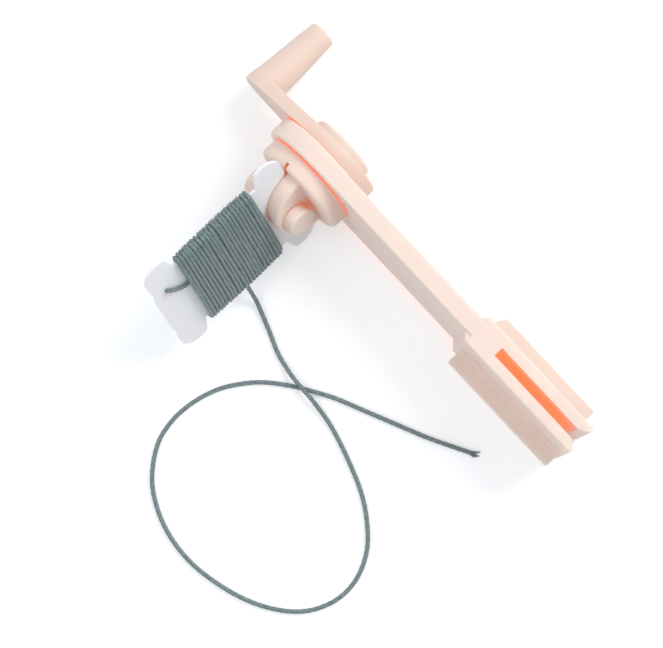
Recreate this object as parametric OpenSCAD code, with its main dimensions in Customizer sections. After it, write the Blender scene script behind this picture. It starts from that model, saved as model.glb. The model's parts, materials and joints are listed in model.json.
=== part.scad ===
// Hand winder for embroidery floss bobbins.
// A slotted foot grips the wall of a storage box. A crank turns a holder in the ring at the
// other end of the stem, and a peg pins a flat bobbin card into the holder's slot.
// The winder lies on a table, on the back edge of its foot and the lower near lobe of the card.
// X runs along the stem towards the foot, Y along the spindle towards the knob, Z up.

/* [Stand] */
// Outer radius of the ring that carries the spindle, also half the width of the stem
ring_radius = 12.7; // [12:0.1:14]
// Thickness of the ring along the spindle
ring_thickness = 4.5; // [3.8:0.1:6]
// Thickness of the flat stem
stem_thickness = 4.2; // [3:0.1:4.5]
// Distance from the middle of the box slot to the front face of ring and stem
front_face = 1.9; // [1.5:0.1:2.4]
// Distance from the spindle to the shoulder of the foot
shoulder_x = 46.9; // [42:0.1:55]
// Rounding of the long edges of stem and foot
stand_edge = 0.5; // [0.2:0.1:0.8]

/* [Foot] */
// Length of the foot from its shoulder to its tip
foot_length = 31.6; // [29:0.1:36]
// Thickness of the foot across the slot
foot_thickness = 7.3; // [6.5:0.1:8.5]
// Width of the slot that takes the wall of a box
slot_width = 2.3; // [1.6:0.1:3]
// Depth of the slot from the tip of the foot
slot_depth = 25.4; // [20:0.1:27]
// Length of the tapered mouth of the slot
mouth_length = 2.4; // [1:0.1:3]
// How far the mouth opens beyond the slot on each side
mouth_flare = 1.5; // [0.8:0.1:1.8]
// Reach of the two side ribs, outer edge to outer edge
rib_span = 15.2; // [13:0.1:17]
// Thickness of the side ribs
rib_thickness = 1.9; // [1.4:0.1:2.6]
// Radius of the fillet where a rib meets the foot
rib_fillet = 1; // [0.5:0.1:1.5]
// Distance from the shoulder to the front rib
front_rib_start = 0.8; // [0.4:0.1:3]
// Distance from the shoulder to the slanted top of the rear rib
rear_rib_start = 0.4; // [0.2:0.1:3]
// Distance from the end of the front rib to the tip
front_rib_end = 0.9; // [0.5:0.1:3]
// Distance from the end of the rear rib to the tip
rear_rib_end = 2.1; // [0.5:0.1:4]

/* [Bobbin holder] */
// Radius of the round plate in front of the ring
disc_radius = 10.9; // [10:0.1:11.5]
// Thickness of the round plate
disc_thickness = 3.8; // [3:0.1:5]
// Rounding of the rim of the round plate
disc_edge = 0.8; // [0.3:0.1:1.2]
// Running gap between the round plate and the ring
front_gap = 0.35; // [0.2:0.05:0.6]
// Radius of the two half round cheeks
cheek_radius = 8.6; // [8:0.1:9.5]
// Thickness of each cheek
cheek_thickness = 3.6; // [2.6:0.1:4.5]
// Rounding of the outer edge of the cheeks
cheek_edge = 0.8; // [0.3:0.1:1.2]
// Width of the slot between the cheeks
card_slot = 0.9; // [0.8:0.05:1.2]
// Depth of the card slot in the round plate
card_slot_depth = 1.3; // [0.6:0.1:2]
// Radius of the spindle
spindle_radius = 6; // [5:0.1:7]
// Distance across the two flats at the crank end of the spindle
spindle_flats = 10.4; // [9.4:0.1:10.8]
// Radius of the hollow in the spindle
spindle_bore = 4; // [3:0.1:4.4]
// Radial running clearance of the spindle in the ring
spindle_clearance = 0.05; // [0.02:0.01:0.09]
// Angle of the card about the spindle, its near edge turned down
card_angle = 61.5; // [50:0.5:70]

/* [Peg] */
// Radius of the head of the peg and of the boss behind the rear cheek
peg_head_radius = 3.25; // [2.9:0.05:3.6]
// Height of the head
peg_head_height = 2.6; // [2:0.1:3.5]
// Radius of the shank
peg_radius = 2.1; // [1.8:0.05:2.3]
// Radial clearance of the shank in the cheeks
peg_clearance = 0.05; // [0.02:0.01:0.09]
// Distance from the round plate to the axis of the peg
peg_offset = 4.2; // [4:0.1:4.8]
// Gap under the head when the peg is pushed home
peg_seat_gap = 0.15; // [0.05:0.05:0.3]
// Height of the boss that guides the peg behind the rear cheek
boss_height = 4.6; // [3:0.1:5.5]
// Distance from the tip of the peg to the end of the boss
peg_tip_inset = 0.3; // [0.1:0.1:1]

/* [Crank] */
// Distance from the spindle to the knob
crank_radius = 21; // [18:0.1:25]
// Thickness of the crank arm
arm_thickness = 2.8; // [2:0.1:4]
// Radius of the hub end of the arm
hub_radius = 10.9; // [10:0.1:12]
// Radius of the knob end of the arm
arm_end_radius = 4.3; // [4.2:0.1:5.5]
// Running gap between the arm and the ring
rear_gap = 0.25; // [0.2:0.05:0.6]
// Length of the knob from the arm
knob_length = 15.8; // [12:0.1:20]
// Radius of the knob at the arm
knob_base_radius = 4.1; // [3.5:0.05:4.2]
// Radius of the knob at its tip
knob_tip_radius = 3.1; // [2.6:0.05:3.5]
// Rounding of the tip of the knob
knob_edge = 0.8; // [0.3:0.1:1.2]
// Angle of the arm below the line of the stem
crank_angle = 12; // [0:1:20]
// Clearance of the arm round the flats of the spindle
flats_clearance = 0.03; // [0.01:0.01:0.06]

/* [Spindle cap] */
// Radius of the cap behind the arm
cap_radius = 7.4; // [6.8:0.1:8.5]
// Thickness of the cap
cap_thickness = 2.2; // [1.5:0.1:3]
// Rounding of the edge of the cap
cap_edge = 0.8; // [0.3:0.1:1]
// Length of the spigot that plugs the spindle
spigot_length = 5; // [3:0.1:6]
// Radial clearance of the spigot
spigot_clearance = 0.02; // [0.01:0.01:0.05]

/* [Bobbin card] */
// Length of the card along the spindle
card_length = 38.1; // [37:0.1:39]
// Width of the card over its lobes
card_width = 34.5; // [33:0.1:36]
// Width of the waist under the floss
waist_width = 25; // [24:0.1:26]
// Thickness of the card
card_thickness = 0.6; // [0.4:0.05:0.7]
// Gap between the card and the round plate
card_gap = 0.35; // [0.2:0.05:0.6]
// Clearance of the card round the peg
card_hole_clearance = 0.25; // [0.15:0.05:0.4]
// Radius of the corner lobes
lobe_radius = 4.3; // [3.8:0.1:4.6]
// Distance from the middle of the card to a thread notch
notch_offset = 8.5; // [7.5:0.1:9.5]
// Depth of a thread notch
notch_depth = 0.7; // [0.4:0.1:1.5]

/* [Floss] */
// Length of the winding along the card
winding_length = 21.4; // [20:0.1:21.8]
// Width of the winding across the card
winding_width = 27.2; // [26.6:0.1:28]
// Thickness of the winding in its middle
winding_thickness = 4.2; // [3.6:0.1:5]
// Distance from the middle of the card to the middle of the winding
winding_shift = 0.4; // [0:0.1:0.6]
// Turns in the outer layer of the winding
winding_turns = 23; // [16:1:24]
// Diameter of the outer layer's strand
strand_diameter = 0.48; // [0.4:0.01:0.5]
// Clearance between the outer layer and the floss under it
layer_gap = 0.03; // [0.02:0.01:0.06]
// Diameter of the loose floss
floss_diameter = 1; // [0.8:0.05:1.2]
// Height of the lasting bow where the loose floss crosses itself
crossing_height = 1.1; // [1.1:0.1:1.5]

/* [Hidden] */
$fn = 64;
// Number of straight steps in a small rounding and in a wide curve
edge_steps = 5;
curve_steps = 12;
// Extra length of a cutter beyond the surface that it opens
cut_over = 1;

// Places along the spindle, measured from the middle of the box slot
ring_back = ring_thickness - front_face;
stem_back = stem_thickness - front_face;
disc_back = -front_face - front_gap;
disc_front = disc_back - disc_thickness;
arm_front = ring_back + rear_gap;
arm_back = arm_front + arm_thickness;
card_middle = disc_front - card_gap - card_length / 2;
winding_middle = card_middle - winding_shift;
peg_y = disc_front - peg_offset;

// Places along the stem
foot_tip = shoulder_x + foot_length;
foot_half = foot_thickness / 2;
slot_end = foot_tip - slot_depth;

// Places across the card, measured from its middle plane
cheek_inner = card_slot / 2;
cheek_outer = cheek_inner + cheek_thickness;
boss_end = cheek_outer + boss_height;

// Centre of a corner lobe, across and along the card from its middle
lobe_x = card_width / 2 - lobe_radius;
lobe_y = card_length / 2 - lobe_radius;

// Heights of the lowest points above the spindle's plane when the winder leans by an angle
function foot_height(tilt) =
    -(foot_half - stand_edge) * sin(tilt) - (ring_radius - stand_edge) * cos(tilt) - stand_edge;
function lobe_height(tilt) =
    -(card_middle + lobe_y) * sin(tilt) - lobe_x * sin(card_angle) * cos(tilt)
    - lobe_radius * sqrt(pow(sin(tilt), 2) + pow(sin(card_angle) * cos(tilt), 2))
    - card_thickness / 2 * cos(card_angle) * cos(tilt);
// The lean at which the foot and the lobe touch the table together
function settle(tilt, steps) =
    steps == 0 ? tilt
    : settle(tilt + (foot_height(tilt) - lobe_height(tilt)) / (foot_half - card_middle - lobe_y)
             * 180 / PI, steps - 1);
rest_tilt = settle(0, 8);
spindle_height = -foot_height(rest_tilt);

// The origin lies under the middle of the winder's box, at table height
end_x = crank_radius * cos(crank_angle) + arm_end_radius;
knob_z = -crank_radius * sin(crank_angle);
back_y = (arm_back + knob_length) * cos(rest_tilt)
       + (knob_z + knob_tip_radius - knob_edge) * sin(rest_tilt);
front_y = (card_middle - lobe_y) * cos(rest_tilt) - lobe_x * sin(card_angle) * sin(rest_tilt)
        - lobe_radius * sqrt(pow(cos(rest_tilt), 2) + pow(sin(card_angle) * sin(rest_tilt), 2));
spindle_x = (end_x - foot_tip) / 2;
spindle_y = -(front_y + back_y) / 2;

// Points of an arc from one angle to another, ends included
function arc(x, y, radius, from, to, steps) =
    [for (i = [0:steps]) let (a = from + (to - from) * i / steps)
        [x + radius * cos(a), y + radius * sin(a)]];

// Outline of a rectangle with four rounded corners
function rounded_box(x0, y0, x1, y1, radius) = concat(
    arc(x1 - radius, y0 + radius, radius, -90, 0, edge_steps),
    arc(x1 - radius, y1 - radius, radius, 0, 90, edge_steps),
    arc(x0 + radius, y1 - radius, radius, 90, 180, edge_steps),
    arc(x0 + radius, y0 + radius, radius, 180, 270, edge_steps));

// Puts a piece that is modelled about the level spindle into its leaning place on the table
module at_rest() {
    translate([spindle_x, spindle_y, spindle_height])
        rotate([-rest_tilt, 0, 0])
            children();
}

// Turns a piece about the spindle into the card's plane: X across the card, Z out of its face
module in_card_plane() {
    rotate([0, card_angle, 0])
        children();
}

// A solid of revolution about the spindle from a profile of radius and distance along it
module turned(profile) {
    rotate([-90, 0, 0])
        rotate_extrude()
            polygon(profile);
}

// A bar along the stem from its cross-section
module bar_along_x(section, from, to) {
    translate([from, 0, 0])
        rotate([90, 0, 90])
            linear_extrude(to - from)
                polygon(section);
}

// A slab of even thickness about the middle plane from an outline seen from above
module slab(outline, thickness) {
    linear_extrude(thickness, center = true)
        polygon(outline);
}

// Ring with both rims rounded
module ring_blank() {
    turned(concat([[0, ring_back], [0, -front_face]],
        arc(ring_radius - stand_edge, -front_face + stand_edge, stand_edge, -90, 0, edge_steps),
        arc(ring_radius - stand_edge, ring_back - stand_edge, stand_edge, 0, 90, edge_steps)));
}

// Flat stem, its 45 degree shoulder and the block of the foot
module stem_and_foot() {
    shoulder_run = foot_half - front_face;
    bar_along_x(rounded_box(-front_face, -ring_radius, stem_back, ring_radius, stand_edge),
                0, shoulder_x);
    slab([[shoulder_x - shoulder_run, -front_face], [shoulder_x, -foot_half],
          [shoulder_x, foot_half], [shoulder_x - foot_half + stem_back, stem_back]],
         2 * (ring_radius - stand_edge));
    intersection() {
        bar_along_x(rounded_box(-foot_half, -ring_radius, foot_half, ring_radius, stand_edge),
                    shoulder_x, foot_tip);
        slab(rounded_box(shoulder_x - foot_half, -foot_half, foot_tip, foot_half, stand_edge),
             2 * ring_radius);
    }
}

// Quarter round that fills the corner between a rib and the side of the foot
module rib_root(side, face) {
    corner = rib_thickness / 2;
    section = concat([[0, 0]],
        arc(rib_fillet, rib_fillet, rib_fillet, 180, 270, edge_steps));
    length = foot_length - front_rib_end - front_rib_start;
    for (up = [0, 1])
        mirror([0, 0, up])
            translate([shoulder_x + front_rib_start, side * face, corner])
                mirror([0, side < 0 ? 1 : 0, 0])
                    bar_along_x(section, 0, length);
}

// Side rib on the front of the foot
module front_rib() {
    start = shoulder_x + front_rib_start;
    end = foot_tip - front_rib_end;
    slab(concat([[end, 0], [start, 0]],
        arc(start + stand_edge, -rib_span / 2 + stand_edge, stand_edge, 180, 270, edge_steps),
        arc(end - stand_edge, -rib_span / 2 + stand_edge, stand_edge, -90, 0, edge_steps)),
        rib_thickness);
}

// Side rib on the back of the foot, with a slanted top
module rear_rib() {
    start = shoulder_x + rear_rib_start;
    end = foot_tip - rear_rib_end;
    slant = (rib_span - foot_thickness) / 2;
    slab(concat([[start, 0], [end, 0]],
        arc(end - stand_edge, rib_span / 2 - stand_edge, stand_edge, 0, 90, edge_steps),
        [[start + slant * 0.6, rib_span / 2], [start, foot_half]]),
        rib_thickness);
}

// Slot for the wall of a box, with a flared mouth
module box_slot() {
    half = slot_width / 2;
    wide = half + mouth_flare;
    flare_per_mm = mouth_flare / mouth_length;
    over_half = wide + flare_per_mm * cut_over;
    slab([[slot_end, -half], [foot_tip - mouth_length, -half],
          [foot_tip + cut_over, -over_half], [foot_tip + cut_over, over_half],
          [foot_tip - mouth_length, half], [slot_end, half]],
         2 * (ring_radius + cut_over));
}

// One moulding: ring, flat stem and slotted foot
module stand() {
    color([0.95, 0.89, 0.85])
        at_rest()
            difference() {
                union() {
                    ring_blank();
                    stem_and_foot();
                    front_rib();
                    rear_rib();
                    rib_root(-1, foot_half);
                    rib_root(1, foot_half);
                }
                turned([[0, -front_face - cut_over],
                        [spindle_radius + spindle_clearance, -front_face - cut_over],
                        [spindle_radius + spindle_clearance, ring_back + cut_over],
                        [0, ring_back + cut_over]]);
                box_slot();
            }
}

// Half round cheek with a rounded outer edge, on the upper side of the card
module cheek() {
    intersection() {
        translate([0, disc_front, cheek_inner])
            rotate_extrude()
                polygon(concat([[0, cheek_thickness], [0, 0], [cheek_radius, 0]],
                    arc(cheek_radius - cheek_edge, cheek_thickness - cheek_edge, cheek_edge,
                        0, 90, edge_steps)));
        translate([-cheek_radius, disc_front - cheek_radius, 0])
            cube([2 * cheek_radius, cheek_radius + disc_edge, cheek_outer]);
    }
}

// Round end of the spindle with two flats for the crank arm
module flatted(radius, across, from, to) {
    intersection() {
        translate([0, from, 0])
            rotate([-90, 0, 0])
                cylinder(h = to - from, r = radius);
        translate([-across / 2, from, -radius])
            cube([across, to - from, 2 * radius]);
    }
}

// One moulding: round plate, two cheeks with the boss for the peg, and the hollow spindle
module bobbin_holder() {
    color([0.93, 0.86, 0.81])
        at_rest()
            in_card_plane()
                difference() {
                    union() {
                        turned(concat([[0, disc_back], [0, disc_front]],
                            arc(disc_radius - disc_edge, disc_front + disc_edge, disc_edge,
                                -90, 0, edge_steps),
                            [[disc_radius, disc_back]]));
                        cheek();
                        mirror([0, 0, 1])
                            cheek();
                        translate([0, peg_y, -boss_end])
                            cylinder(h = boss_end - cheek_inner, r = peg_head_radius);
                        translate([0, disc_back, 0])
                            rotate([-90, 0, 0])
                                cylinder(h = arm_front - disc_back, r = spindle_radius);
                        flatted(spindle_radius, spindle_flats, arm_front, arm_back);
                    }
                    translate([-disc_radius - cut_over, disc_front - cut_over, -cheek_inner])
                        cube([2 * (disc_radius + cut_over), card_slot_depth + cut_over,
                              card_slot]);
                    translate([0, peg_y, -boss_end - cut_over])
                        cylinder(h = boss_end + cheek_outer + 2 * cut_over,
                                 r = peg_radius + peg_clearance);
                    translate([0, disc_back, 0])
                        rotate([-90, 0, 0])
                            cylinder(h = arm_back - disc_back + cut_over, r = spindle_bore);
                }
}

// Peg with a round head, pushed through both cheeks and the hole of the card
module bobbin_peg() {
    head_base = cheek_outer + peg_seat_gap;
    tip = -boss_end + peg_tip_inset;
    tip_edge = peg_radius / 4;
    color([0.95, 0.88, 0.84])
        at_rest()
            in_card_plane()
                translate([0, peg_y, 0])
                    rotate_extrude()
                        polygon(concat([[0, tip], [peg_radius - tip_edge, tip],
                            [peg_radius, tip + tip_edge], [peg_radius, head_base],
                            [peg_head_radius, head_base]],
                            arc(peg_head_radius - peg_radius / 4,
                                head_base + peg_head_height - peg_radius / 4, peg_radius / 4,
                                0, 90, edge_steps),
                            [[0, head_base + peg_head_height]]));
}

// Outline of two circles and their outer tangents, the small one at minus distance
module teardrop(big, small, distance) {
    lean = acos((big - small) / distance);
    circle(r = big);
    translate([-distance, 0])
        circle(r = small);
    polygon([[-big * cos(lean), big * sin(lean)],
             [-distance - small * cos(lean), small * sin(lean)],
             [-distance - small * cos(lean), -small * sin(lean)],
             [-big * cos(lean), -big * sin(lean)]]);
}

// One moulding: tapered arm and knob
module crank_handle() {
    color([0.90, 0.79, 0.72])
        at_rest()
            rotate([0, -crank_angle, 0]) {
                difference() {
                    translate([0, arm_front, 0])
                        rotate([-90, 0, 0])
                            linear_extrude(arm_thickness)
                                teardrop(hub_radius, arm_end_radius, crank_radius);
                    rotate([0, crank_angle + card_angle, 0])
                        flatted(spindle_radius + flats_clearance,
                                spindle_flats + 2 * flats_clearance,
                                arm_front - cut_over, arm_back + cut_over);
                }
                translate([-crank_radius, 0, 0])
                    turned(concat([[0, arm_back - arm_thickness / 2],
                        [knob_base_radius, arm_back - arm_thickness / 2],
                        [knob_base_radius, arm_back]],
                        arc(knob_tip_radius - knob_edge, arm_back + knob_length - knob_edge,
                            knob_edge, 0, 90, edge_steps),
                        [[0, arm_back + knob_length]]));
            }
}

// Cap behind the crank arm, its spigot pressed into the hollow spindle
module spindle_cap() {
    cap_back = arm_back + cap_thickness;
    spigot = spindle_bore - spigot_clearance;
    color([0.94, 0.88, 0.84])
        at_rest()
            turned(concat([[0, arm_back - spigot_length], [spigot, arm_back - spigot_length],
                [spigot, arm_back], [cap_radius, arm_back]],
                arc(cap_radius - cap_edge, cap_back - cap_edge, cap_edge, 0, 90, edge_steps),
                [[0, cap_back]]));
}

// One quarter of the card: waist, shoulder and corner lobe, seen with the corner at plus X and Y
function card_quarter() = concat(
    [[0, 0], [waist_width / 2, 0], [waist_width / 2, lobe_y - lobe_radius + 1.2]],
    arc(lobe_x, lobe_y, lobe_radius, -25, 80, curve_steps),
    [[notch_offset + notch_depth, card_length / 2 - notch_depth * 0.3],
     [notch_offset, card_length / 2 - notch_depth],
     [notch_offset - notch_depth, card_length / 2 - notch_depth * 0.3],
     [notch_offset / 2, card_length / 2],
     [0, card_length / 2]]);

// Flat bobbin card with four lobes, thread notches and a hole for the peg
module bobbin_card() {
    color([0.92, 0.92, 0.94])
        at_rest()
            in_card_plane()
                difference() {
                    translate([0, card_middle, 0])
                        for (side = [0, 1], end = [0, 1])
                            mirror([side, 0, 0])
                                mirror([0, end, 0])
                                    slab(card_quarter(), card_thickness);
                    translate([0, peg_y, -cut_over])
                        cylinder(h = 2 * cut_over, r = peg_radius + card_hole_clearance);
                }
}

// Cross-section of the winding: a flat oval with full corners
loop_steps = 24;
function signed_root(v) = sign(v) * sqrt(abs(v));
function oval(half_width, half_thickness, turn) =
    [half_width * signed_root(cos(turn)), half_thickness * signed_root(sin(turn))];

strand_inset = strand_diameter / 2;
core_inset = strand_diameter + layer_gap;

// Floss under the outer layer, wound round the waist of the card
module floss_core() {
    color([0.24, 0.31, 0.33])
        at_rest()
            in_card_plane()
                translate([0, winding_middle, 0])
                    rotate([90, 0, 0])
                        linear_extrude(winding_length, center = true)
                            difference() {
                                polygon([for (i = [0:loop_steps - 1])
                                    oval(winding_width / 2 - core_inset,
                                         winding_thickness / 2 - core_inset,
                                         360 * i / loop_steps)]);
                                square([waist_width + 2 * layer_gap,
                                        card_thickness + 2 * layer_gap], center = true);
                            }
}

// Centre line of the outer layer, one unbroken strand from end to end of the winding
winding_pitch = (winding_length - strand_diameter) / winding_turns;
winding_path = [for (i = [0:winding_turns * loop_steps])
    let (turn = 360 * (i % loop_steps) / loop_steps,
         p = oval(winding_width / 2 - strand_inset, winding_thickness / 2 - strand_inset, turn))
    [p[0], winding_middle - winding_length / 2 + strand_inset + winding_pitch * i / loop_steps,
     p[1]]];

// Least distance between points half a loop or more apart, less the strand's own thickness
winding_gap = min([for (i = [0:loop_steps], j = [i + loop_steps / 2:i + 2 * loop_steps])
    norm(winding_path[j] - winding_path[i])]) - strand_diameter;
echo(str("Least gap between turns of the winding, mm: ", winding_gap));

// A closed tube of even thickness along a list of points, its rings square to the path
function unit(v) = v / norm(v);
function heading(path, i) =
    unit(path[min(i + 1, len(path) - 1)] - path[max(i - 1, 0)]);
module tube(path, diameter, sides, up) {
    last = len(path) - 1;
    rings = [for (i = [0:last])
        let (ahead = heading(path, i), across = unit(cross(ahead, up)), over = cross(across, ahead))
        for (k = [0:sides - 1])
            path[i] + diameter / 2 * (cos(360 * k / sides) * across + sin(360 * k / sides) * over)];
    walls = [for (i = [0:last - 1], k = [0:sides - 1])
        let (a = i * sides + k, b = i * sides + (k + 1) % sides)
        each [[a, b, a + sides], [b, b + sides, a + sides]]];
    first_end = [for (k = [1:sides - 2]) [0, k + 1, k]];
    last_end = [for (k = [1:sides - 2])
        [last * sides, last * sides + k, last * sides + k + 1]];
    polyhedron(rings, concat(walls, first_end, last_end));
}

// Outer layer of the winding
module floss_winding() {
    color([0.32, 0.41, 0.43])
        at_rest()
            in_card_plane()
                tube(winding_path, strand_diameter, 6, [0, 1, 0]);
}

// Starting end of the floss, flat on the far head of the card
start_height = card_thickness / 2 + floss_diameter / 2 + layer_gap;
winding_far_end = winding_middle - winding_length / 2;
start_path = [[-4, winding_far_end - layer_gap, start_height],
              [-4, winding_far_end - layer_gap - floss_diameter, start_height],
              [-5.4, winding_far_end - 2.6, start_height],
              [-6.6, winding_far_end - 3.8, start_height],
              [-7.8, winding_far_end - 4.7, start_height]];
module floss_start() {
    color([0.32, 0.41, 0.43])
        at_rest()
            in_card_plane()
                tube(start_path, floss_diameter, 8, [0, 0, 1]);
}

// Route of the loose floss on the table, from the lower edge of the winding to its bare end
lie = floss_diameter / 2;
over = lie + crossing_height;
slope = lie + crossing_height / 3;
floss_route = [
    [-19.6, -15.4, 6], [-18.6, -15.7, 4.6], [-17, -16.2, 2.6], [-15, -16.9, 1],
    [-9.5, -19, lie], [-5, -20.8, lie], [-1.5, -21.6, slope], [1.8, -22, over],
    [6.5, -22.2, over], [10.3, -22.6, slope], [14.5, -23.3, lie], [20.5, -25, lie],
    [28, -27.8, lie], [33.5, -31, lie], [38.5, -35.5, lie], [41.5, -41.2, lie],
    [42, -47, lie], [40.3, -52.3, lie], [37.3, -56.3, lie], [33, -59.6, lie],
    [28, -62.1, lie], [22, -63.9, lie], [15.5, -64.9, lie], [8.8, -64.5, lie],
    [2.3, -62.5, lie], [-3.5, -58.8, lie], [-8, -53, lie], [-9.6, -47.5, lie],
    [-9.6, -42.3, lie], [-8.5, -37.2, lie], [-6.5, -32.8, lie], [-2.8, -27.8, lie],
    [2.2, -23.6, lie], [7.2, -20.4, lie], [11, -18.3, lie], [16, -16.1, lie],
    [22.8, -13.1, lie], [29.8, -10, lie], [35, -7.3, lie], [39.5, -4.9, lie]];

// Smooth curve through the route, with a point halfway between each two
function between(p0, p1, p2, p3, f) =
    0.5 * (2 * p1 + f * (p2 - p0) + f * f * (2 * p0 - 5 * p1 + 4 * p2 - p3)
           + f * f * f * (3 * p1 - p0 - 3 * p2 + p3));
function smooth(route, parts) = let (last = len(route) - 1) concat(
    [for (i = [0:last - 1], k = [0:parts - 1])
        between(route[max(i - 1, 0)], route[i], route[i + 1], route[min(i + 2, last)], k / parts)],
    [route[last]]);

// Loose end of the floss
module floss_tail() {
    color([0.32, 0.41, 0.43])
        tube(smooth(floss_route, 2), floss_diameter, 8, [0, 0, 1]);
}

echo(str("Lean, degrees: ", rest_tilt, "  spindle at ", [spindle_x, spindle_y, spindle_height]));

stand();
bobbin_holder();
crank_handle();
spindle_cap();
bobbin_peg();
bobbin_card();
floss_core();
floss_winding();
floss_start();
floss_tail();
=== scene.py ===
"""Looks of a hand winder for embroidery floss bobbins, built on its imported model.

Lengths are in metres and written in millimetres times MM, except where a field says otherwise.
"""
import json
import logging
import math
from dataclasses import dataclass
from enum import Enum

import bpy
import numpy as np
from mathutils import Matrix, Vector


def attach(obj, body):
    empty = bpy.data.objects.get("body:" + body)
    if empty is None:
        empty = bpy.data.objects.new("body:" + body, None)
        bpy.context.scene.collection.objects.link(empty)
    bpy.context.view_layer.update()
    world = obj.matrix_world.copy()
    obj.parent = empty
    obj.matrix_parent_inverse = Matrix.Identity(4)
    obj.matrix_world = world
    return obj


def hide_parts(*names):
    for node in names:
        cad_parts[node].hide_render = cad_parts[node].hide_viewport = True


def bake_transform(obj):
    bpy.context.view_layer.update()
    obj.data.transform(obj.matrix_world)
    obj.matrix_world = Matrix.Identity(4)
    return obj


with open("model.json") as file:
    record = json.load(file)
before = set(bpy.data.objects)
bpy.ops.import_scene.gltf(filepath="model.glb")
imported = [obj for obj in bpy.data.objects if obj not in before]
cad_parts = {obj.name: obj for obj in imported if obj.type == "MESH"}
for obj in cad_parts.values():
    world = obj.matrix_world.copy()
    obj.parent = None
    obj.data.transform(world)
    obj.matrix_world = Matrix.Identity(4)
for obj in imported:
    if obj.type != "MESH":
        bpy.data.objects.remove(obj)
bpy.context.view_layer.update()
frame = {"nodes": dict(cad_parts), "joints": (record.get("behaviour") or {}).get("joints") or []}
MM = 0.001
NEARLY_UPRIGHT = 0.1  # sine of the angle to the vertical below which a path counts as upright
POINTS_PER_SPAN = 16  # points worked out between two points of a route
LOG =logging.getLogger("bobbin_winder")


class Plastic(Enum):
    """The shades of plastic on the winder, as linear colours; the crank's is darker with painted
    shade.
    """

    STAND = (0.86, 0.715, 0.635)
    HOLDER = (0.85, 0.69, 0.60)
    # Painted shade: the crank's colour is darker than the stand's because its arm slopes away from
    # the light.
    CRANK_WITH_PAINTED_SHADE = (0.80, 0.635, 0.545)
    CARD = (0.90, 0.905, 0.93)


def row_joint(name: str) -> dict:
    """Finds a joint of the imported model.

    Args:
        name: the joint's name.

    Returns:
        The joint's entry in the record.
    """
    return next(j for j in frame["joints"] if j["name"] == name)


@dataclass(frozen=True)
class CardPlane:
    """The bobbin card's own directions: across it, along the spindle and out of its face."""

    centre: Vector
    across: Vector
    along: Vector
    normal: Vector

    def place(self, points: np.ndarray) -> np.ndarray:
        """Turns points in the card's directions into points in the row frame.

        Args:
            points: rows of across, along and normal, in metres.

        Returns:
            Rows of x, y and z, in metres.
        """
        axes = np.array([self.across, self.along, self.normal])
        return np.array(self.centre) + points @ axes


def card_plane() -> CardPlane:
    """Reads the card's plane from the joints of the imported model.

    Returns:
        The plane, with its centre where the spindle turns.
    """
    spin = row_joint("crank_turn")
    along = Vector(spin["axis"]).normalized()
    normal = Vector(row_joint("peg_pull")["axis"]).normalized()
    return CardPlane(Vector(spin["pos_m"]), along.cross(normal), along, normal)


def mesh_object(name: str, points: np.ndarray, faces: list,
                uv: np.ndarray | None = None) -> bpy.types.Object:
    """Makes a smooth mesh object.

    Args:
        name: the object's name.
        points: rows of x, y and z, in metres.
        faces: lists of point numbers.
        uv: for each point, millimetres along the strand and turns round it.

    Returns:
        The new object, linked into the scene.
    """
    mesh = bpy.data.meshes.new(name)
    mesh.from_pydata([tuple(p) for p in points], [], faces)
    if uv is not None:
        layer = mesh.uv_layers.new(name="strand")
        for loop in mesh.loops:
            layer.data[loop.index].uv = uv[loop.vertex_index]
    mesh.polygons.foreach_set("use_smooth", [True] * len(mesh.polygons))
    mesh.update()
    piece = bpy.data.objects.new(name, mesh)
    bpy.context.scene.collection.objects.link(piece)
    return piece


def tube_faces(rings: int, sides: int) -> list:
    """Lists the faces of a tube with closed ends.

    Args:
        rings: how many rings of points there are along the tube.
        sides: how many points each ring has.

    Returns:
        Lists of point numbers, with the two ends last.
    """
    faces = [(i * sides + k, i * sides + (k + 1) % sides,
              (i + 1) * sides + (k + 1) % sides, (i + 1) * sides + k)
             for i in range(rings - 1) for k in range(sides)]
    faces.append(tuple(reversed(range(sides))))
    faces.append(tuple((rings - 1) * sides + k for k in range(sides)))
    return faces


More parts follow.
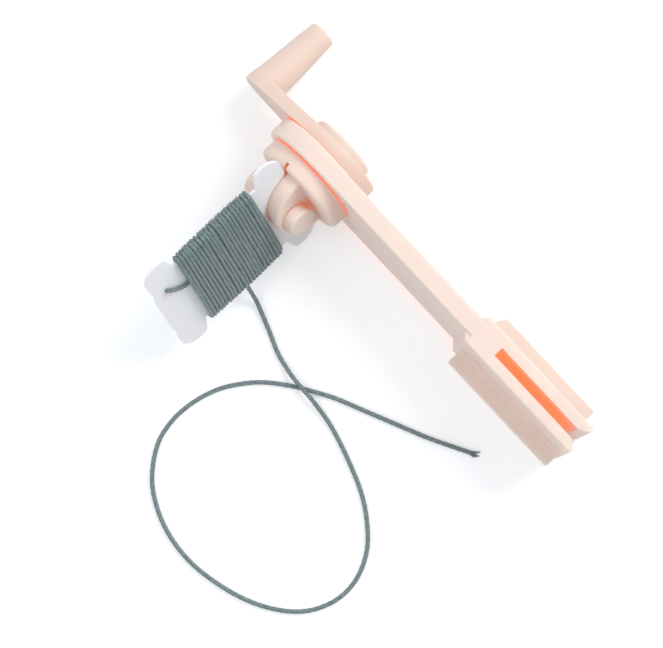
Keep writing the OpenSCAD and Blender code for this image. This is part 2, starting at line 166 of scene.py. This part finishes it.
@dataclass(frozen=True)
class Strand:
    """Stranded floss along a path: one closed mesh with twisted lobes, six unless said."""

    diameter: float = 1.0 * MM
    lobes: int = 6
    lobe_depth: float = 0.3
    twist_length: float = 9.0 * MM
    sides: int = 30

    def first_side(self, ahead: np.ndarray) -> np.ndarray:
        """Picks a direction that isn't along the path's start.

        Args:
            ahead: the direction in which the path starts.

        Returns:
            A direction across it.
        """
        side = np.cross(ahead, (0.0, 0.0, 1.0))
        if np.linalg.norm(side) < NEARLY_UPRIGHT:
            side = np.cross(ahead, (1.0, 0.0, 0.0))
        return side

    def radii(self, turn: np.ndarray, length: float) -> np.ndarray:
        """Works out the lobed section's radii.

        Args:
            turn: angles round the strand, in radians.
            length: how far along the strand the section is, in metres.

        Returns:
            One radius for each angle, in metres.
        """
        phase = 2 * math.pi * length / self.twist_length
        bulge = np.abs(np.cos(self.lobes / 2 * (turn - phase)))
        return self.diameter / 2 * (1 - self.lobe_depth * (1 - bulge))

    def sweep(self, path: np.ndarray, scale: np.ndarray | None = None) -> tuple:
        """Sweeps the section along a path.

        Args:
            path: rows of x, y and z, in metres, evenly spaced.
            scale: one factor on the thickness for each row, or None for 1.

        Returns:
            Points, faces and the uv of each point.
        """
        scale = np.ones(len(path)) if scale is None else scale
        ahead = np.gradient(path, axis=0)
        ahead /= np.linalg.norm(ahead, axis=1)[:, None]
        steps = np.linalg.norm(np.diff(path, axis=0), axis=1)
        lengths = np.concatenate([[0.0], np.cumsum(steps)])
        share = np.arange(self.sides) / self.sides
        turn = np.arange(self.sides) * 2 * math.pi / self.sides
        side = self.first_side(ahead[0])
        points, uv = [], []
        for place, forward, length, factor in zip(path, ahead, lengths, scale):
            side = side - forward * np.dot(side, forward)
            side /= np.linalg.norm(side)
            over = np.cross(forward, side)
            radius = self.radii(turn, length) * factor
            points.append(place + np.outer(np.cos(turn) * radius, side)
                          + np.outer(np.sin(turn) * radius, over))
            uv.append(np.column_stack([np.full(self.sides, length / MM),
                                       share + length / self.twist_length]))
        return np.concatenate(points), tube_faces(len(path), self.sides), np.concatenate(uv)


def joined(parts: list) -> tuple:
    """Joins swept tubes into one set of points, faces and uv.

    Args:
        parts: tuples of points, faces and uv.

    Returns:
        One tuple of points, faces and uv.
    """
    points, tubes, uv = zip(*parts)
    faces, base = [], 0
    for rows, tube in zip(points, tubes):
        faces += [tuple(base + k for k in face) for face in tube]
        base += len(rows)
    return np.concatenate(points), faces, np.concatenate(uv)


def smooth_path(route: np.ndarray, spacing: float) -> np.ndarray:
    """Draws a smooth curve through a route and spaces points evenly along it.

    Each span is a cubic whose direction at a route point is that of the line between the
    points on either side of it.

    Args:
        route: rows of x, y and z, in metres.
        spacing: distance between points, in metres.

    Returns:
        Rows of x, y and z, in metres.
    """
    ends = np.vstack([route[0], route, route[-1]])
    f = np.linspace(0, 1, POINTS_PER_SPAN, endpoint=False)[:, None]
    fine = [0.5 * (2 * ends[i] + f * (ends[i + 1] - ends[i - 1])
                   + f**2 * (2 * ends[i - 1] - 5 * ends[i] + 4 * ends[i + 1] - ends[i + 2])
                   + f**3 * (3 * ends[i] - ends[i - 1] - 3 * ends[i + 1] + ends[i + 2]))
            for i in range(1, len(ends) - 2)]
    fine = np.vstack(fine + [route[-1:]])
    steps = np.concatenate([[0], np.cumsum(np.linalg.norm(np.diff(fine, axis=0), axis=1))])
    at = np.linspace(0, steps[-1], int(steps[-1] / spacing) + 1)
    return np.column_stack([np.interp(at, steps, fine[:, k]) for k in range(3)])


def sum_node(tree: bpy.types.NodeTree, operation: str,
             *values: float | bpy.types.NodeSocket) -> bpy.types.NodeSocket:
    """Places a sum in a node tree.

    Args:
        tree: the node tree.
        operation: the sum, such as ADD.
        *values: its terms in order, each a number or another node's output.

    Returns:
        The sum's output.
    """
    node = tree.nodes.new("ShaderNodeMath")
    node.operation = operation
    for slot, value in zip(node.inputs, values):
        if isinstance(value, bpy.types.NodeSocket):
            tree.links.new(value, slot)
        else:
            slot.default_value = value
    return node.outputs[0]


@dataclass(frozen=True)
class MouldedSkin:
    """The shared surface of moulded plastic: faint mottling, fine grain and clefts with painted
    warm bounce light.

    A cleft starts where only open_share of the surroundings reaches the surface, and is
    full where deep_share does. Noise scales are per metre.
    """

    mottle_scale: float = 90
    mottle_detail: float = 3
    grain_scale: float = 2600
    grain_detail: float = 2
    noise_middle: float = 0.5
    roughness_spread: float = 0.12
    cleft_reach: float = 6.5 * MM
    cleft_samples: int = 8
    open_share: float = 0.34
    deep_share: float = 0.06

    def sockets(self, tree: bpy.types.NodeTree) -> None:
        """Makes the group's named inputs and outputs.

        Args:
            tree: the group.
        """
        # The glow colour input holds the painted warm bounce light laid into the clefts.
        for name, kind, value in (("Color", "NodeSocketColor", (0.8, 0.7, 0.6, 1)),
                                  ("Painted glow", "NodeSocketColor", (0.9, 0.35, 0.15, 1)),
                                  ("Mottle", "NodeSocketFloat", 0.04),
                                  ("Roughness", "NodeSocketFloat", 0.45)):
            socket = tree.interface.new_socket(name=name, in_out="INPUT", socket_type=kind)
            socket.default_value = value
        for name, kind in (("Color", "NodeSocketColor"), ("Roughness", "NodeSocketFloat"),
                           ("Height", "NodeSocketFloat"), ("Cleft", "NodeSocketFloat")):
            tree.interface.new_socket(name=name, in_out="OUTPUT", socket_type=kind)

    def noise(self, tree: bpy.types.NodeTree, place: bpy.types.NodeSocket, scale: float,
              detail: float) -> bpy.types.NodeSocket:
        """Places a noise in the group.

        Args:
            tree: the group.
            place: where on the piece a point is.
            scale: how many bumps there are to a metre.
            detail: how many finer layers it has.

        Returns:
            The noise, from 0 to 1.
        """
        noise = tree.nodes.new("ShaderNodeTexNoise")
        noise.inputs["Scale"].default_value = scale
        noise.inputs["Detail"].default_value = detail
        tree.links.new(place, noise.inputs["Vector"])
        return noise.outputs["Fac"]

    def cleft(self, tree: bpy.types.NodeTree) -> bpy.types.NodeSocket:
        """Places the mask of the narrow gaps in the group, which takes the painted bounce light.

        Args:
            tree: the group.

        Returns:
            The mask, 1 deep in a gap and 0 in the open.
        """
        nearby = tree.nodes.new("ShaderNodeAmbientOcclusion")
        nearby.samples = self.cleft_samples
        nearby.inputs["Distance"].default_value = self.cleft_reach
        depth = tree.nodes.new("ShaderNodeMapRange")
        depth.inputs["From Min"].default_value = self.open_share
        depth.inputs["From Max"].default_value = self.deep_share
        tree.links.new(nearby.outputs["AO"], depth.inputs["Value"])
        return depth.outputs["Result"]

    def build(self) -> bpy.types.NodeTree:
        """Builds the group.

        Returns:
            The group.
        """
        tree = bpy.data.node_groups.new("moulded_skin", "ShaderNodeTree")
        self.sockets(tree)
        link = tree.links.new
        given = tree.nodes.new("NodeGroupInput").outputs
        result = tree.nodes.new("NodeGroupOutput").inputs
        place = tree.nodes.new("ShaderNodeTexCoord").outputs["Object"]
        mottle = self.noise(tree, place, self.mottle_scale, self.mottle_detail)
        grain = self.noise(tree, place, self.grain_scale, self.grain_detail)
        cleft = self.cleft(tree)
        shift = sum_node(tree, "SUBTRACT", mottle, self.noise_middle)
        amount = sum_node(tree, "MULTIPLY", shift, given["Mottle"])
        tint = tree.nodes.new("ShaderNodeHueSaturation")
        link(sum_node(tree, "ADD", amount, 1), tint.inputs["Value"])
        link(given["Color"], tint.inputs["Color"])
        # Painted bounce light: deep in a cleft the colour turns towards the glow colour.
        painted_warmth = tree.nodes.new("ShaderNodeMix")
        painted_warmth.data_type = "RGBA"
        link(cleft, painted_warmth.inputs["Factor"])
        link(tint.outputs["Color"], painted_warmth.inputs["A"])
        link(given["Painted glow"], painted_warmth.inputs["B"])
        link(painted_warmth.outputs["Result"], result["Color"])
        link(sum_node(tree, "MULTIPLY_ADD", mottle, self.roughness_spread, given["Roughness"]),
             result["Roughness"])
        link(grain, result["Height"])
        link(cleft, result["Cleft"])
        return tree


@dataclass(frozen=True)
class MouldedPlastic:
    """Matt moulded plastic that scatters light under its surface and has painted glow, a warm
    painted bounce light, in its clefts.
    """

    name: str
    shade: Plastic
    roughness: float = 0.42
    scatter: float = 0.4
    scatter_depth: float = 3.5 * MM
    scatter_radius: tuple = (1.0, 0.42, 0.22)
    mottle: float = 0.05
    # The glow colour and its strength are painted bounce light: the clefts shine with it though the
    # plastic is no lamp.
    glow: tuple = (0.93, 0.36, 0.16)
    painted_glow_strength: float = 0.13
    grain: float = 0.06
    grain_depth: float = 0.05 * MM
    refraction: float = 1.46
    specular: float = 0.35

    def build(self, skin: bpy.types.NodeTree) -> bpy.types.Material:
        """Makes the material.

        Args:
            skin: the shared surface group.

        Returns:
            The material.
        """
        material = bpy.data.materials.new(self.name)
        material.use_nodes = True
        nodes, link = material.node_tree.nodes, material.node_tree.links.new
        shader = nodes["Principled BSDF"]
        surface = nodes.new("ShaderNodeGroup")
        surface.node_tree = skin
        surface.inputs["Color"].default_value = (*self.shade.value, 1)
        surface.inputs["Painted glow"].default_value = (*self.glow, 1)
        surface.inputs["Mottle"].default_value = self.mottle
        surface.inputs["Roughness"].default_value = self.roughness
        bump = nodes.new("ShaderNodeBump")
        bump.inputs["Strength"].default_value = self.grain
        bump.inputs["Distance"].default_value = self.grain_depth
        # Painted glow: emission of the glow colour in the clefts.
        painted_glow_colour = nodes.new("ShaderNodeMix")
        painted_glow_colour.data_type = "RGBA"
        painted_glow_colour.inputs["A"].default_value = (0, 0, 0, 1)
        painted_glow_colour.inputs["B"].default_value = (*self.glow, 1)
        link(surface.outputs["Cleft"], painted_glow_colour.inputs["Factor"])
        link(painted_glow_colour.outputs["Result"], shader.inputs["Emission Color"])
        link(surface.outputs["Color"], shader.inputs["Base Color"])
        link(surface.outputs["Roughness"], shader.inputs["Roughness"])
        link(surface.outputs["Height"], bump.inputs["Height"])
        link(bump.outputs["Normal"], shader.inputs["Normal"])
        shader.inputs["Emission Strength"].default_value = self.painted_glow_strength
        shader.inputs["IOR"].default_value = self.refraction
        shader.inputs["Specular IOR Level"].default_value = self.specular
        shader.inputs["Subsurface Weight"].default_value = self.scatter
        shader.inputs["Subsurface Radius"].default_value = self.scatter_radius
        shader.inputs["Subsurface Scale"].default_value = self.scatter_depth
        return material


@dataclass(frozen=True)
class CottonFloss:
    """Mercerised cotton: fine fibres along each strand, dark valleys that are partly fibre tone and
    partly painted shade, and a soft sheen.

    The noise is dark below dark_at and light above light_at.
    """

    name: str
    light: tuple = (0.28, 0.365, 0.368)
    # The dark colour holds painted shade for the fibre valleys as well as the fibres' own tone.
    dark: tuple = (0.05, 0.08, 0.085)
    light_at: float = 0.68
    dark_at: float = 0.3
    fibre_scale: tuple = (0.9, 26.0, 1.0)
    fibre_detail: float = 4
    relief: float = 0.5
    relief_depth: float = 0.06 * MM
    roughness: float = 0.5
    specular: float = 0.6
    sheen: float = 0.25
    sheen_roughness: float = 0.4

    def build(self) -> bpy.types.Material:
        """Makes the material from fibre noise stretched along the strand.

        Returns:
            The material.
        """
        material = bpy.data.materials.new(self.name)
        material.use_nodes = True
        nodes, link = material.node_tree.nodes, material.node_tree.links.new
        shader = nodes["Principled BSDF"]
        strand = nodes.new("ShaderNodeUVMap")
        strand.uv_map = "strand"
        stretch = nodes.new("ShaderNodeMapping")
        stretch.inputs["Scale"].default_value = self.fibre_scale
        fibre = nodes.new("ShaderNodeTexNoise")
        fibre.inputs["Scale"].default_value = 1
        fibre.inputs["Detail"].default_value = self.fibre_detail
        # Colour follows the fibre height: darker in the low valleys, partly painted shade.
        ramp = nodes.new("ShaderNodeValToRGB")
        painted_valley_shade, crest = ramp.color_ramp.elements
        painted_valley_shade.position, painted_valley_shade.color = self.dark_at, (*self.dark, 1)
        crest.position, crest.color = self.light_at, (*self.light, 1)
        bump = nodes.new("ShaderNodeBump")
        bump.inputs["Strength"].default_value = self.relief
        bump.inputs["Distance"].default_value = self.relief_depth
        link(strand.outputs["UV"], stretch.inputs["Vector"])
        link(stretch.outputs["Vector"], fibre.inputs["Vector"])
        link(fibre.outputs["Fac"], ramp.inputs["Fac"])
        link(ramp.outputs["Color"], shader.inputs["Base Color"])
        link(fibre.outputs["Fac"], bump.inputs["Height"])
        link(bump.outputs["Normal"], shader.inputs["Normal"])
        shader.inputs["Roughness"].default_value = self.roughness
        shader.inputs["Specular IOR Level"].default_value = self.specular
        shader.inputs["Sheen Weight"].default_value = self.sheen
        shader.inputs["Sheen Roughness"].default_value = self.sheen_roughness
        return material


@dataclass(frozen=True)
class TableTop:
    """A white table top that shows plain white to the view and keeps its shadows."""

    half_side: float = 1.5
    drop: float = 0.05 * MM
    colour: tuple = (0.86, 0.87, 0.885)
    roughness: float = 0.9
    specular: float = 0.1
    seen_glow: float = 0.29

    def finish(self) -> bpy.types.Material:
        """Makes the material, with a glow that only the view and reflections see.

        Returns:
            The material.
        """
        material = bpy.data.materials.new("white_table")
        material.use_nodes = True
        tree = material.node_tree
        nodes, link = tree.nodes, tree.links.new
        shader = nodes["Principled BSDF"]
        shader.inputs["Base Color"].default_value = (*self.colour, 1)
        shader.inputs["Roughness"].default_value = self.roughness
        shader.inputs["Specular IOR Level"].default_value = self.specular
        ray = nodes.new("ShaderNodeLightPath").outputs
        seen = sum_node(tree, "MAXIMUM", ray["Is Camera Ray"], ray["Is Glossy Ray"])
        glow = nodes.new("ShaderNodeEmission")
        both = nodes.new("ShaderNodeAddShader")
        link(sum_node(tree, "MULTIPLY", seen, self.seen_glow), glow.inputs["Strength"])
        link(shader.outputs[0], both.inputs[0])
        link(glow.outputs[0], both.inputs[1])
        link(both.outputs[0], nodes["Material Output"].inputs["Surface"])
        return material

    def build(self) -> None:
        """Makes the table top, a little below the winder's lowest point."""
        half = self.half_side
        points = np.array([(-half, -half, 0), (half, -half, 0), (half, half, 0), (-half, half, 0)])
        top = mesh_object("table_top", points, [(0, 1, 2, 3)])
        top.location.z = -self.drop
        top.data.materials.append(self.finish())


@dataclass(frozen=True)
class Lamp:
    """A square lamp: how far right, up and towards the camera it stands, its side and watts."""

    name: str
    place: tuple
    side: float
    power: float


@dataclass
class Studio:
    """White table, soft daylight from the upper right and the photograph's view from above.

    The spindle is the crank's joint, and the view is placed from its point and axis. The
    roll comes from how the stem runs in the picture, so far right for so far down.
    """

    spindle: dict
    aim_along_stem: float = 25.3 * MM
    aim_along_spindle: float = -19.89 * MM
    view_width: float = 138.7 * MM
    distance: float = 1.2
    view_lean: float = math.radians(6.5)
    stem_right: float = 0.683
    stem_down: float = 0.730
    sensor_width: float = 36
    nearest: float = 0.05
    key: Lamp = Lamp("key", (0.45, 0.40, 0.62), 0.42, 3.9)
    fill: Lamp = Lamp("fill", (-0.5, -0.1, 0.7), 0.6, 2.0)
    sky_colour: tuple = (0.93, 0.96, 1)
    sky_strength: float = 0.58

    def roll(self) -> float:
        """Works out how far the picture is turned, in radians."""
        return math.atan2(self.stem_down, self.stem_right)

    def axes(self) -> tuple:
        """Works out the view's directions.

        Returns:
            The directions right, up and towards the camera.
        """
        axis, roll = self.spindle["axis"], self.roll()
        tilt = self.view_lean - math.atan2(-axis[2], axis[1])
        spindle = Vector((0, math.cos(tilt), math.sin(tilt)))
        stem = Vector((1, 0, 0))
        right = stem * math.cos(roll) + spindle * math.sin(roll)
        up = -stem * math.sin(roll) + spindle * math.cos(roll)
        return right, up, right.cross(up)

    def aim(self) -> Vector:
        """Works out what the view centres on.

        Returns:
            The point in the middle of the view.
        """
        right, up, _ = self.axes()
        along_spindle = right * math.sin(self.roll()) + up * math.cos(self.roll())
        along_stem = Vector((self.aim_along_stem, 0, 0))
        return Vector(self.spindle["pos_m"]) + along_stem + along_spindle * self.aim_along_spindle

    def camera(self) -> None:
        """Makes the camera."""
        data = bpy.data.cameras.new("camera")
        data.sensor_width = self.sensor_width
        data.lens = data.sensor_width * self.distance / self.view_width
        data.clip_start = self.nearest
        camera = bpy.data.objects.new("camera", data)
        right, up, back = self.axes()
        turn = Matrix((right, up, back)).transposed().to_4x4()
        camera.matrix_world = Matrix.Translation(self.aim() + back * self.distance) @ turn
        bpy.context.scene.collection.objects.link(camera)
        bpy.context.scene.camera = camera

    def hang(self, lamp: Lamp) -> None:
        """Hangs a lamp so that it faces the winder.

        Args:
            lamp: the lamp.
        """
        data = bpy.data.lights.new(lamp.name, "AREA")
        data.size = lamp.side
        data.energy = lamp.power
        light = bpy.data.objects.new(lamp.name, data)
        offset = sum((axis * k for axis, k in zip(self.axes(), lamp.place)), Vector())
        light.matrix_world = (Matrix.Translation(self.aim() + offset)
                              @ offset.to_track_quat("Z", "Y").to_matrix().to_4x4())
        bpy.context.scene.collection.objects.link(light)

    def sky(self) -> None:
        """Makes the even light of the surroundings."""
        world = bpy.data.worlds.new("studio")
        world.use_nodes = True
        background = world.node_tree.nodes["Background"].inputs
        background["Color"].default_value = (*self.sky_colour, 1)
        background["Strength"].default_value = self.sky_strength
        bpy.context.scene.world = world

    def build(self) -> None:
        """Makes the whole studio."""
        self.camera()
        TableTop().build()
        self.sky()
        self.hang(self.key)
        self.hang(self.fill)
        bpy.context.scene.view_settings.view_transform = "Standard"
        LOG.info("studio: camera, table and lamps")


@dataclass(frozen=True)
class Fray:
    """The strands that spread out at a cut end of the floss.

    The spreads are each strand's slope to the side, and root_spread and bend are how much
    of it shows at the strand's root and in its curve. The points are the floss's own: the
    strands leave it at the root point, and it narrows over the last taper points.
    """

    strand: Strand = Strand(0.42 * MM, 2, 0.1, 3 * MM, 8)
    length: float = 3.2 * MM
    spreads: tuple = (-0.42, -0.24, -0.08, 0.1, 0.27, 0.4)
    shortest: float = 0.62
    longer_by: float = 0.14
    root_spread: float = 0.7 * MM
    bend: float = 0.45
    rise: float = 0.3 * MM
    tip_width: float = 0.7
    steps: int = 8
    root_point: int = -8
    aim_point: int = -4
    taper_points: int = 8
    thinnest: float = 0.35

    def tubes(self, path: np.ndarray, lie: float) -> list:
        """Makes the strands, in three lengths and two heights by turns.

        Args:
            path: the floss's own path, in metres.
            lie: the height of the floss's middle on the table, in metres.

        Returns:
            Swept tubes.
        """
        ahead = path[-1] - path[self.aim_point]
        ahead /= np.linalg.norm(ahead)
        side = np.cross((0, 0, 1), ahead)
        t = np.linspace(0, 1, self.steps)[:, None]
        width = np.linspace(1, self.tip_width, self.steps)
        tubes = []
        for k, spread in enumerate(self.spreads):
            root = path[self.root_point] + side * spread * self.root_spread
            reach = self.length * (self.shortest + self.longer_by * (k % 3))
            line = root + t * reach * ahead + t**2 * reach * spread * self.bend * side
            line[:, 2] = lie + (k % 2 - 0.5) * self.rise * (1 - t[:, 0] / 2)
            tubes.append(self.strand.sweep(line, width))
        return tubes

    def taper(self, count: int) -> np.ndarray:
        """Thins the last points of the twisted floss, where its strands come apart.

        Args:
            count: the number of points on the path.

        Returns:
            One factor for each point.
        """
        return np.clip((count - 1 - np.arange(count)) / self.taper_points, self.thinnest, 1)


@dataclass
class LooseFloss:
    """The loose end of the floss on the table, from the winding to its frayed tip.

    The floss's middle lies at lie over the table and at bow above that where it crosses
    itself, both in millimetres, as the route's points are.
    """

    finish: bpy.types.Material
    lie: float = 0.5
    bow: float = 1.1
    spacing: float = 0.3 * MM
    strand: Strand = Strand()
    fray: Fray = Fray()
    settled: tuple = (-0.009, -0.019, 0.0005)

    def route(self) -> np.ndarray:
        """Gives the points that the floss follows, from the winding to the tip.

        Returns:
            Rows of x, y and z, in metres.
        """
        lie, over, slope = self.lie, self.lie + self.bow, self.lie + self.bow / 3
        points = [
            (-19.6, -15.4, 6), (-18.6, -15.7, 4.6), (-17, -16.2, 2.6), (-15, -16.9, 1),
            (-9.5, -19, lie), (-5, -20.8, lie), (-1.5, -21.6, slope), (1.8, -22, over),
            (6.5, -22.2, over), (10.3, -22.6, slope), (14.5, -23.3, lie), (20.5, -25, lie),
            (28, -27.8, lie), (33.5, -31, lie), (38.5, -35.5, lie), (41.5, -41.2, lie),
            (42, -47, lie), (40.3, -52.3, lie), (37.3, -56.3, lie), (33, -59.6, lie),
            (28, -62.1, lie), (22, -63.9, lie), (15.5, -64.9, lie), (8.8, -64.5, lie),
            (2.3, -62.5, lie), (-3.5, -58.8, lie), (-8, -53, lie), (-9.6, -47.5, lie),
            (-9.6, -42.3, lie), (-8.5, -37.2, lie), (-6.5, -32.8, lie), (-2.8, -27.8, lie),
            (2.2, -23.6, lie), (7.2, -20.4, lie), (11, -18.3, lie), (16, -16.1, lie),
            (22.8, -13.1, lie), (29.8, -10, lie), (35, -7.3, lie), (39.5, -4.9, lie)]
        return np.array(points) * MM

    def build(self) -> None:
        path = smooth_path(self.route(), self.spacing)
        floss = self.strand.sweep(path, self.fray.taper(len(path)))
        points, faces, uv = joined([floss] + self.fray.tubes(path, self.lie * MM))
        piece = mesh_object("loose_floss", points, faces, uv)
        piece.data.materials.append(self.finish)
        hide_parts("floss_tail")
        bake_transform(piece)


@dataclass
class Winding:
    """Floss wound on the waist of the card: a plain inner bulk under touching outer turns.

    Stations run along the winding from -1 to 1. The outer turns stray by sway, in stations,
    and lift above and below their even height, each with so many changes in a turn.
    """

    finish: bpy.types.Material
    plane: CardPlane
    middle: float = -25.85 * MM
    length: float = 21.4 * MM
    half_width: float = 13.6 * MM
    half_thickness: float = 2.1 * MM
    turns: int = 24
    steps: int = 110
    crown: float = 0.22 * MM
    strand: Strand = Strand(0.93 * MM, 4, 0.26, 4.5 * MM, 16)
    seed: int = 7
    sway: float = 0.011
    sways: int = 4
    lift: float = 0.16 * MM
    lifts: int = 3
    bulk_inset: float = 0.55 * MM
    bulk_reach: float = 0.97
    bulk_rings: int = 24
    bulk_sides: int = 64
    bulk_fibre: tuple = (1.2, 3.0)
    start_strand: Strand = Strand(0.95 * MM)
    start_spacing: float = 0.25 * MM

    def oval(self, turn: np.ndarray, inset: float, station: np.ndarray) -> np.ndarray:
        """Gives points round the winding.

        Args:
            turn: angles in radians.
            inset: distance inside the outer surface.
            station: places along the winding, from -1 to 1.

        Returns:
            Rows of across, along and normal, in metres.
        """
        swell = self.crown * (1 - station**2)
        c, s = np.cos(turn), np.sin(turn)
        across = (self.half_width - inset + swell) * np.sign(c) * np.sqrt(np.abs(c))
        out = (self.half_thickness - inset + swell) * np.sign(s) * np.sqrt(np.abs(s))
        return np.column_stack([across, self.middle + station * self.length / 2, out])

    def spread(self, values: np.ndarray) -> np.ndarray:
        """Spreads a few values evenly over the outer layer's points.

        Args:
            values: the values, from its first point to its last.

        Returns:
            One value for each point.
        """
        count = self.turns * self.steps
        return np.interp(np.arange(count + 1), np.linspace(0, count, len(values)), values)

    def outer_path(self) -> np.ndarray:
        """Works out the outer layer's centre line with small, seeded unevenness.

        Returns:
            Rows of x, y and z, in metres.
        """
        chance = np.random.default_rng(self.seed)
        count = self.turns * self.steps
        turn = np.arange(count + 1) * 2 * math.pi / self.steps
        reach = 1 - self.strand.diameter / self.length
        station = np.linspace(-reach, reach, count + 1)
        sway = self.spread(chance.normal(0, self.sway, self.turns * self.sways))
        lift = self.spread(chance.uniform(0, self.lift, self.turns * self.lifts))
        points = self.oval(turn, self.strand.diameter / 2, np.clip(station + sway, -reach, reach))
        points[:, 2] += np.sign(points[:, 2]) * (lift - self.lift / 2)
        return self.plane.place(points)

    def bulk(self) -> tuple:
        """Makes the inner bulk as a closed shell.

        Returns:
            Points, faces and the uv of each point.
        """
        rings, sides = self.bulk_rings, self.bulk_sides
        turn = np.arange(sides) * 2 * math.pi / sides
        rows = [self.oval(turn, self.bulk_inset, np.full(sides, station))
                for station in np.linspace(-self.bulk_reach, self.bulk_reach, rings)]
        round_step, ring_step = self.bulk_fibre
        uv = np.array([(k * round_step, i * ring_step) for i in range(rings) for k in range(sides)])
        return self.plane.place(np.vstack(rows)), tube_faces(rings, sides), uv

    def start_path(self) -> np.ndarray:
        """Works out how the floss's starting end comes out over the card's far head.

        Returns:
            Rows of x, y and z, in metres.
        """
        points = np.array([(-4, 0.6, 0.62), (-4.1, -0.3, 0.85), (-4.5, -1.4, 0.82),
                           (-5.5, -2.7, 0.82), (-6.6, -3.8, 0.82), (-7.8, -4.7, 0.82)]) * MM
        points[:, 1] += self.middle - self.length / 2
        return smooth_path(self.plane.place(points), self.start_spacing)

    def build(self) -> None:
        """Makes the winding and its starting end."""
        outer = mesh_object("winding_outer_turns", *self.strand.sweep(self.outer_path()))
        bulk = mesh_object("winding_inner_bulk", *self.bulk())
        start = mesh_object("starting_end", *self.start_strand.sweep(self.start_path()))
        for piece, node in ((outer, "floss_winding"), (bulk, "floss_core"), (start, "floss_start")):
            piece.data.materials.append(self.finish)
            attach(piece, "winder")
            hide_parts(node)
            LOG.info("floss: %s", piece.name)


@dataclass
class Mouldings:
    """The winder's plastic pieces, which keep the CAD solids' shapes."""

    skin: bpy.types.NodeTree
    edge_angle: float = math.radians(32)
    edge_radius: float = 0.22 * MM
    card_edge_radius: float = 0.08 * MM
    edge_steps: int = 3
    weld_distance: float = 0.001 * MM
    # How strongly the stand's slot shines with painted bounce light.
    slot_painted_glow: float = 0.45

    def dress(self, node: str, finish: MouldedPlastic, edge_radius: float) -> None:
        """Gives one moulding its finish and its rounded edges.

        Args:
            node: the CAD node's name.
            finish: its plastic.
            edge_radius: the radius of its edges, in metres.
        """
        piece = frame["nodes"][node]
        piece.data.materials.clear()
        piece.data.materials.append(finish.build(self.skin))
        weld = piece.modifiers.new("weld", "WELD")
        weld.merge_threshold = self.weld_distance
        round_edges = piece.modifiers.new("round_edges", "BEVEL")
        round_edges.width = edge_radius
        round_edges.segments = self.edge_steps
        round_edges.limit_method = "ANGLE"
        round_edges.angle_limit = self.edge_angle
        LOG.info("moulding: %s", node)

    def build(self) -> None:
        """Dresses every moulding; the stand's open slot gets more painted glow than the other
        clefts.
        """
        pale = {
            "stand": MouldedPlastic("pale_plastic_stand", Plastic.STAND,
                                    painted_glow_strength=self.slot_painted_glow),
            "bobbin_holder": MouldedPlastic("pale_plastic_holder", Plastic.HOLDER),
            "crank_handle": MouldedPlastic("pale_plastic_crank_painted_shade", Plastic.CRANK_WITH_PAINTED_SHADE),
            "spindle_cap": MouldedPlastic("pale_plastic_cap", Plastic.STAND),
            "bobbin_peg": MouldedPlastic("pale_plastic_peg", Plastic.STAND),
        }
        for node, finish in pale.items():
            self.dress(node, finish, self.edge_radius)
        # The card gets a faint pale painted glow in its clefts as well.
        card = MouldedPlastic("white_card", Plastic.CARD, roughness=0.38, scatter=0.2,
                              scatter_depth=1.0 * MM, scatter_radius=(1.0, 0.95, 0.9),
                              mottle=0.02, glow=(0.8, 0.82, 0.86), painted_glow_strength=0.03)
        self.dress("bobbin_card", card, self.card_edge_radius)


def main() -> None:
    """Builds the winder in order: view and loose floss first, then the rest."""
    logging.basicConfig(level=logging.INFO)
    floss = CottonFloss("cotton_floss").build()
    Studio(row_joint("crank_turn")).build()
    LooseFloss(floss).build()
    Winding(floss, card_plane()).build()
    Mouldings(MouldedSkin().build()).build()


if __name__ == "__main__":
    main()
